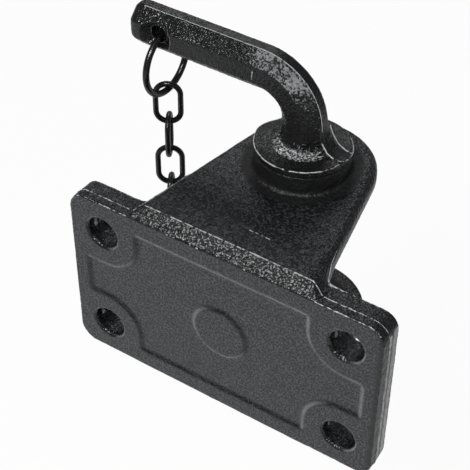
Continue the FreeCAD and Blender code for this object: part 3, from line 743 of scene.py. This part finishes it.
def cast_jaw(material):
    """The casting as it comes from the sand: soft relief walls, a soft right shoulder, an uneven skin."""
    piece = remeshed_copy("cast_jaw", "jaw_body", JAW_VOXEL)
    mesh = piece.data
    places, edges = mesh_arrays(mesh)
    places = relax(places, edges, 2)
    side = np.abs(places[:, 0])
    depth = places[:, 1]
    level = np.abs(places[:, 2])
    bolt = np.hypot(side - BOLT_X, level - BOLT_Z)
    relief = fall(depth, *RELIEF_DEPTH) * rise(bolt, *BOLT_CLEAR)
    relief *= fall(side, *RELIEF_SIDE) * fall(level, *RELIEF_LEVEL)
    places = settle(places, edges, relief, RELIEF_ROUNDS)
    shoulder = rise(places[:, 0], *SHOULDER_IN) * fall(side, *SHOULDER_OUT)
    shoulder *= rise(depth, *SHOULDER_FRONT) * fall(depth, *SHOULDER_BACK)
    shoulder *= rise(level, *SHOULDER_UP)
    places = settle(places, edges, shoulder, SHOULDER_ROUNDS)
    write_places(mesh, places)
    normals = vertex_normals(mesh)
    lowest, highest = (np.array(corner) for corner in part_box("jaw_body"))

    reach = np.hypot(places[:, 0], places[:, 1] - PIN_Y)
    free = rise(reach, BORE, BORE + 1.5 * MM)
    face = rise(-normals[:, 1], 0.8, 0.97) * fall(places[:, 1], *FACE_DEPTH)
    push = free * (1.0 - FACE_CALM * face) * swells(places, JAW_SWELLS)
    places = np.clip(places + normals * (push * MM)[:, None], lowest, highest)
    write_places(mesh, places)
    assign(piece, material)
    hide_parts("jaw_body")
    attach(piece, "jaw_body")


# Gate strip
GATE_COLUMNS = 360
GATE_ROWS = 32
GATE_HALF = 44.9 * MM
GATE_NARROWS = 5.0 * MM
GATE_THICK = 0.8 * MM


def gate_strip(material):
    """The broken-off feeder on the slanted face between the mounting face and the jaw top: ragged scale."""
    up = np.repeat(np.arange(GATE_ROWS) / (GATE_ROWS - 1), GATE_COLUMNS)
    across = np.tile(np.arange(GATE_COLUMNS) / (GATE_COLUMNS - 1), GATE_ROWS)
    half = GATE_HALF - GATE_NARROWS * up ** 1.5
    level = GATE_FOOT + (JAW_TOP - GATE_FOOT) * up
    places = np.stack(((across * 2.0 - 1.0) * half, GATE_RUN * up, level), axis=1)
    out = np.array((0.0, -(JAW_TOP - GATE_FOOT), GATE_RUN))
    out /= np.linalg.norm(out)
    chisel = ripple(places * np.array((1.0, 0.6, 0.6)), 0.95 * MM, 11)
    crumbs = ripple(places, 0.6 * MM, 12)
    ends = rise(np.minimum(across, 1.0 - across), 0.0, 0.012)
    inside = rise(up, 0.07, 0.13) * fall(up, 0.94, 1.0) * ends
    lift = (0.15 + 0.36 * chisel + 0.2 * crumbs) * inside - 0.25 * (1.0 - inside)
    places = places + out * (lift * MM)[:, None]
    places[:, 1] = np.maximum(places[:, 1], 0.02 * MM)
    faces = []
    for row in range(GATE_ROWS - 1):
        for column in range(GATE_COLUMNS - 1):
            corner = row * GATE_COLUMNS + column
            faces.append((corner, corner + 1, corner + GATE_COLUMNS + 1, corner + GATE_COLUMNS))
    piece = new_piece("gate_scale", places, faces, material)
    thicken = piece.modifiers.new("body", "SOLIDIFY")
    thicken.thickness = GATE_THICK
    thicken.offset = -1.0
    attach(piece, "jaw_body")


# Threads of the casting
CORNER_PARTS = 24
RIGHT_EDGE = (0.7, 6.0)

# Bright threads: raised flash and edges with painted highlights; the root edge is a painted highlight along
# the fillet at the right root
JAW_THREADS = (
    Thread("gate_crest", 51, "flash", 0.28, 0.32, (0.0, -0.35, 0.94), (0.0, 0.94, 0.35), (
        (-46.0, 4.4, 44.2), (-43.2, 5.3, 46.6), (-40.6, 6.0, 48.4), (-37.0, 6.1, 48.5),
        (37.0, 6.1, 48.5), (40.6, 6.0, 48.4), (43.2, 5.3, 46.6), (46.0, 4.4, 44.2),
    )),
    Thread("jaw_edge", 55, "flash", 0.3, 0.3, (-0.7, 0.0, 0.7), (0.7, 0.0, 0.7), (
        (-44.6, 4.6, 45.6), (-43.2, 7.0, 46.7), (-42.0, 12.3, 46.8), (-37.6, 35.0, 46.8),
    ), sink=0.6),
    Thread("root_edge", 58, "rim", 0.35, 0.35, (0.45, 0.55, 0.7), (0.6, -0.75, 0.2), (
        (38.9, 27.5, 47.0), (39.8, 23.8, 46.8), (40.7, 20.2, 46.3), (41.4, 18.0, 45.0), (41.9, 16.8, 43.9),
        (42.6, 14.4, 43.8), (44.2, 12.7, 43.8), (46.5, 12.0, 43.8), (52.0, 11.9, 43.7), (57.0, 11.9, 43.6),
    ), wild=0.6),
    Thread("mould_dash", 61, "flash", 0.35, 0.35, (0.0, 0.0, 1.0), (0.0, 1.0, 0.0), (
        (3.8, 17.2, 48.5), (13.9, 16.8, 48.5),
    ), step=0.35),
    Thread("mould_pip", 64, "flash", 0.4, 0.5, (0.0, 0.0, 1.0), (0.0, 1.0, 0.0), (
        (26.3, 10.5, 48.5), (27.6, 10.5, 48.5),
    ), step=0.2),
)


def flange_outline(grow, step):
    """Points round the flange edge in X and Z, with the outward angle at each."""
    side = PLATE_HALF_WIDE + grow - PLATE_CORNER
    top = PLATE_HALF_TALL + grow - PLATE_CORNER
    bends = []
    for number, (x, z) in enumerate(((side, top), (-side, top), (-side, -top), (side, -top))):
        for part in range(CORNER_PARTS + 1):
            angle = (number + part / CORNER_PARTS) * 0.5 * math.pi
            bends.append((x + PLATE_CORNER * math.cos(angle), z + PLATE_CORNER * math.sin(angle), angle))
    outline = []
    for number, (x, z, angle) in enumerate(bends):
        next_x, next_z, _ = bends[(number + 1) % len(bends)]
        parts = max(1, round(math.hypot(next_x - x, next_z - z) / step))
        for part in range(parts):
            share = part / parts
            outline.append((x + (next_x - x) * share, z + (next_z - z) * share, angle))
    return outline


def flash_line(name, depth, height, half_wide, seed, material, right_side=True):
    """A thread of flash round the flange edge, at one depth behind the mounting face."""
    outline = flange_outline(-abs(depth - PARTING) * DRAFT, THREAD_STEP)
    if not right_side:
        outline = [spot for spot in outline if RIGHT_EDGE[0] < spot[2] < RIGHT_EDGE[1]]
    middle = [(x, depth, z) for x, z, _ in outline]
    outward = [(math.cos(angle), 0.0, math.sin(angle)) for _, _, angle in outline]
    ragged_thread(name, middle, outward, (0.0, 1.0, 0.0), height, half_wide, seed, material,
                  closed=right_side)


# Stage
FLOOR_COLOUR = (0.86, 0.86, 0.86, 1.0)
FLOOR_ROUGH = 0.9
FLOOR_WHITE = 0.955
SURROUND_LOW = (0.22, 0.225, 0.235, 1.0)
SURROUND_HIGH = (0.15, 0.154, 0.16, 1.0)
SURROUND_RISE = (0.15, 0.5)
KEY_LAMP = ((0.063, -0.783, 0.975), 0.22, 13.0)
BACK_LAMP = ((-0.50, 0.80, 0.84), 0.4, 1.6)


def make_floor():
    """A pale floor that keeps the object's shadow and shows nearly white to the camera."""
    mesh = bpy.data.meshes.new("floor")
    corners = [(-1, -1), (1, -1), (1, 1), (-1, 1)]
    places = [(x * FLOOR_HALF, y * FLOOR_HALF, FLOOR_LEVEL) for x, y in corners]
    mesh.from_pydata(places, [], [(0, 1, 2, 3)])
    floor = bpy.data.objects.new("floor", mesh)
    bpy.context.scene.collection.objects.link(floor)
    material = bpy.data.materials.new("floor_white")
    material.use_nodes = True
    nodes = material.node_tree.nodes
    links = material.node_tree.links
    nodes["Principled BSDF"].inputs["Base Color"].default_value = FLOOR_COLOUR
    nodes["Principled BSDF"].inputs["Roughness"].default_value = FLOOR_ROUGH
    glow = nodes.new("ShaderNodeEmission")
    glow.inputs["Strength"].default_value = 1.0
    path = nodes.new("ShaderNodeLightPath")
    share = nodes.new("ShaderNodeMath")
    share.operation = "MULTIPLY"
    share.inputs[1].default_value = FLOOR_WHITE
    mix = nodes.new("ShaderNodeMixShader")
    links.new(path.outputs["Is Camera Ray"], share.inputs[0])
    links.new(share.outputs["Value"], mix.inputs["Fac"])
    links.new(nodes["Principled BSDF"].outputs["BSDF"], mix.inputs[1])
    links.new(glow.outputs["Emission"], mix.inputs[2])
    links.new(mix.outputs["Shader"], nodes["Material Output"].inputs["Surface"])
    mesh.materials.append(material)


def make_lamp(name, place, size, power):
    data = bpy.data.lights.new(name, "AREA")
    data.shape = "RECTANGLE"
    data.size = size
    data.size_y = size
    data.energy = power
    lamp = bpy.data.objects.new(name, data)
    lamp.location = Vector(place)
    lamp.rotation_mode = "QUATERNION"
    lamp.rotation_quaternion = (-Vector(place)).to_track_quat("-Z", "Y")
    bpy.context.scene.collection.objects.link(lamp)


def make_world():
    """A studio: a pale surround up to a little above the horizon and a dim ceiling; white to the camera."""
    world = bpy.data.worlds.new("studio")
    world.use_nodes = True
    nodes = world.node_tree.nodes
    links = world.node_tree.links
    surround = nodes["Background"]
    place = nodes.new("ShaderNodeTexCoord")
    split = nodes.new("ShaderNodeSeparateXYZ")
    ramp = nodes.new("ShaderNodeMapRange")
    ramp.interpolation_type = "SMOOTHSTEP"
    ramp.inputs["From Min"].default_value = SURROUND_RISE[0]
    ramp.inputs["From Max"].default_value = SURROUND_RISE[1]
    tone = nodes.new("ShaderNodeMix")
    tone.data_type = "RGBA"
    tone.inputs["A"].default_value = SURROUND_LOW
    tone.inputs["B"].default_value = SURROUND_HIGH
    white = nodes.new("ShaderNodeBackground")
    white.inputs["Color"].default_value = (1.0, 1.0, 1.0, 1.0)
    path = nodes.new("ShaderNodeLightPath")
    mix = nodes.new("ShaderNodeMixShader")
    links.new(place.outputs["Generated"], split.inputs["Vector"])
    links.new(split.outputs["Z"], ramp.inputs["Value"])
    links.new(ramp.outputs["Result"], tone.inputs["Factor"])
    links.new(tone.outputs["Result"], surround.inputs["Color"])
    links.new(path.outputs["Is Camera Ray"], mix.inputs["Fac"])
    links.new(surround.outputs["Background"], mix.inputs[1])
    links.new(white.outputs["Background"], mix.inputs[2])
    links.new(mix.outputs["Shader"], nodes["World Output"].inputs["Surface"])
    bpy.context.scene.world = world


def light_stage():
    make_world()
    make_lamp("key", *KEY_LAMP)
    make_lamp("back", *BACK_LAMP)
    bpy.context.scene.view_settings.view_transform = "Standard"


make_camera()
casting_paint = black_paint("casting_paint", 1.0 * MM, 0.24, sand_cast)
forging_paint = black_paint("forging_paint", 0.9 * MM, 0.20, scaly_bevels)
# Bright paints for threads and scale: wear and painted highlights in dashes
paints = {
    "flash": scale_with_highlights("flash_paint", 0.42, 0.52),
    "rim": scale_with_highlights("rim_paint", 0.30, 0.44),
    "foot": scale_with_highlights("foot_paint", 0.48, 0.56, CRUMB_SCALE),
}
gate_paint = gate_scale_paint("gate_paint")
dress_cad_nodes(wire_finish("chain_steel"))
forge_pin(forging_paint)
collar_rim(paints["rim"])
handle_crest(paints["rim"])
mouth_rim(paints["rim"])
lay_threads(PIN_THREADS, "hitch_pin", paints)
cast_jaw(casting_paint)
gate_strip(gate_paint)
flash_line("face_flash", 0.35 * MM, 0.28 * MM, 0.26 * MM, 21, paints["flash"], right_side=False)
flash_line("parting_flash", PARTING, 0.30 * MM, 0.30 * MM, 31, paints["flash"])
flash_line("back_flash", PLATE_THICK - 0.5 * MM, 0.12 * MM, 0.2 * MM, 37, paints["flash"])
lay_threads(JAW_THREADS, "jaw_body", paints)
make_floor()
light_stage()
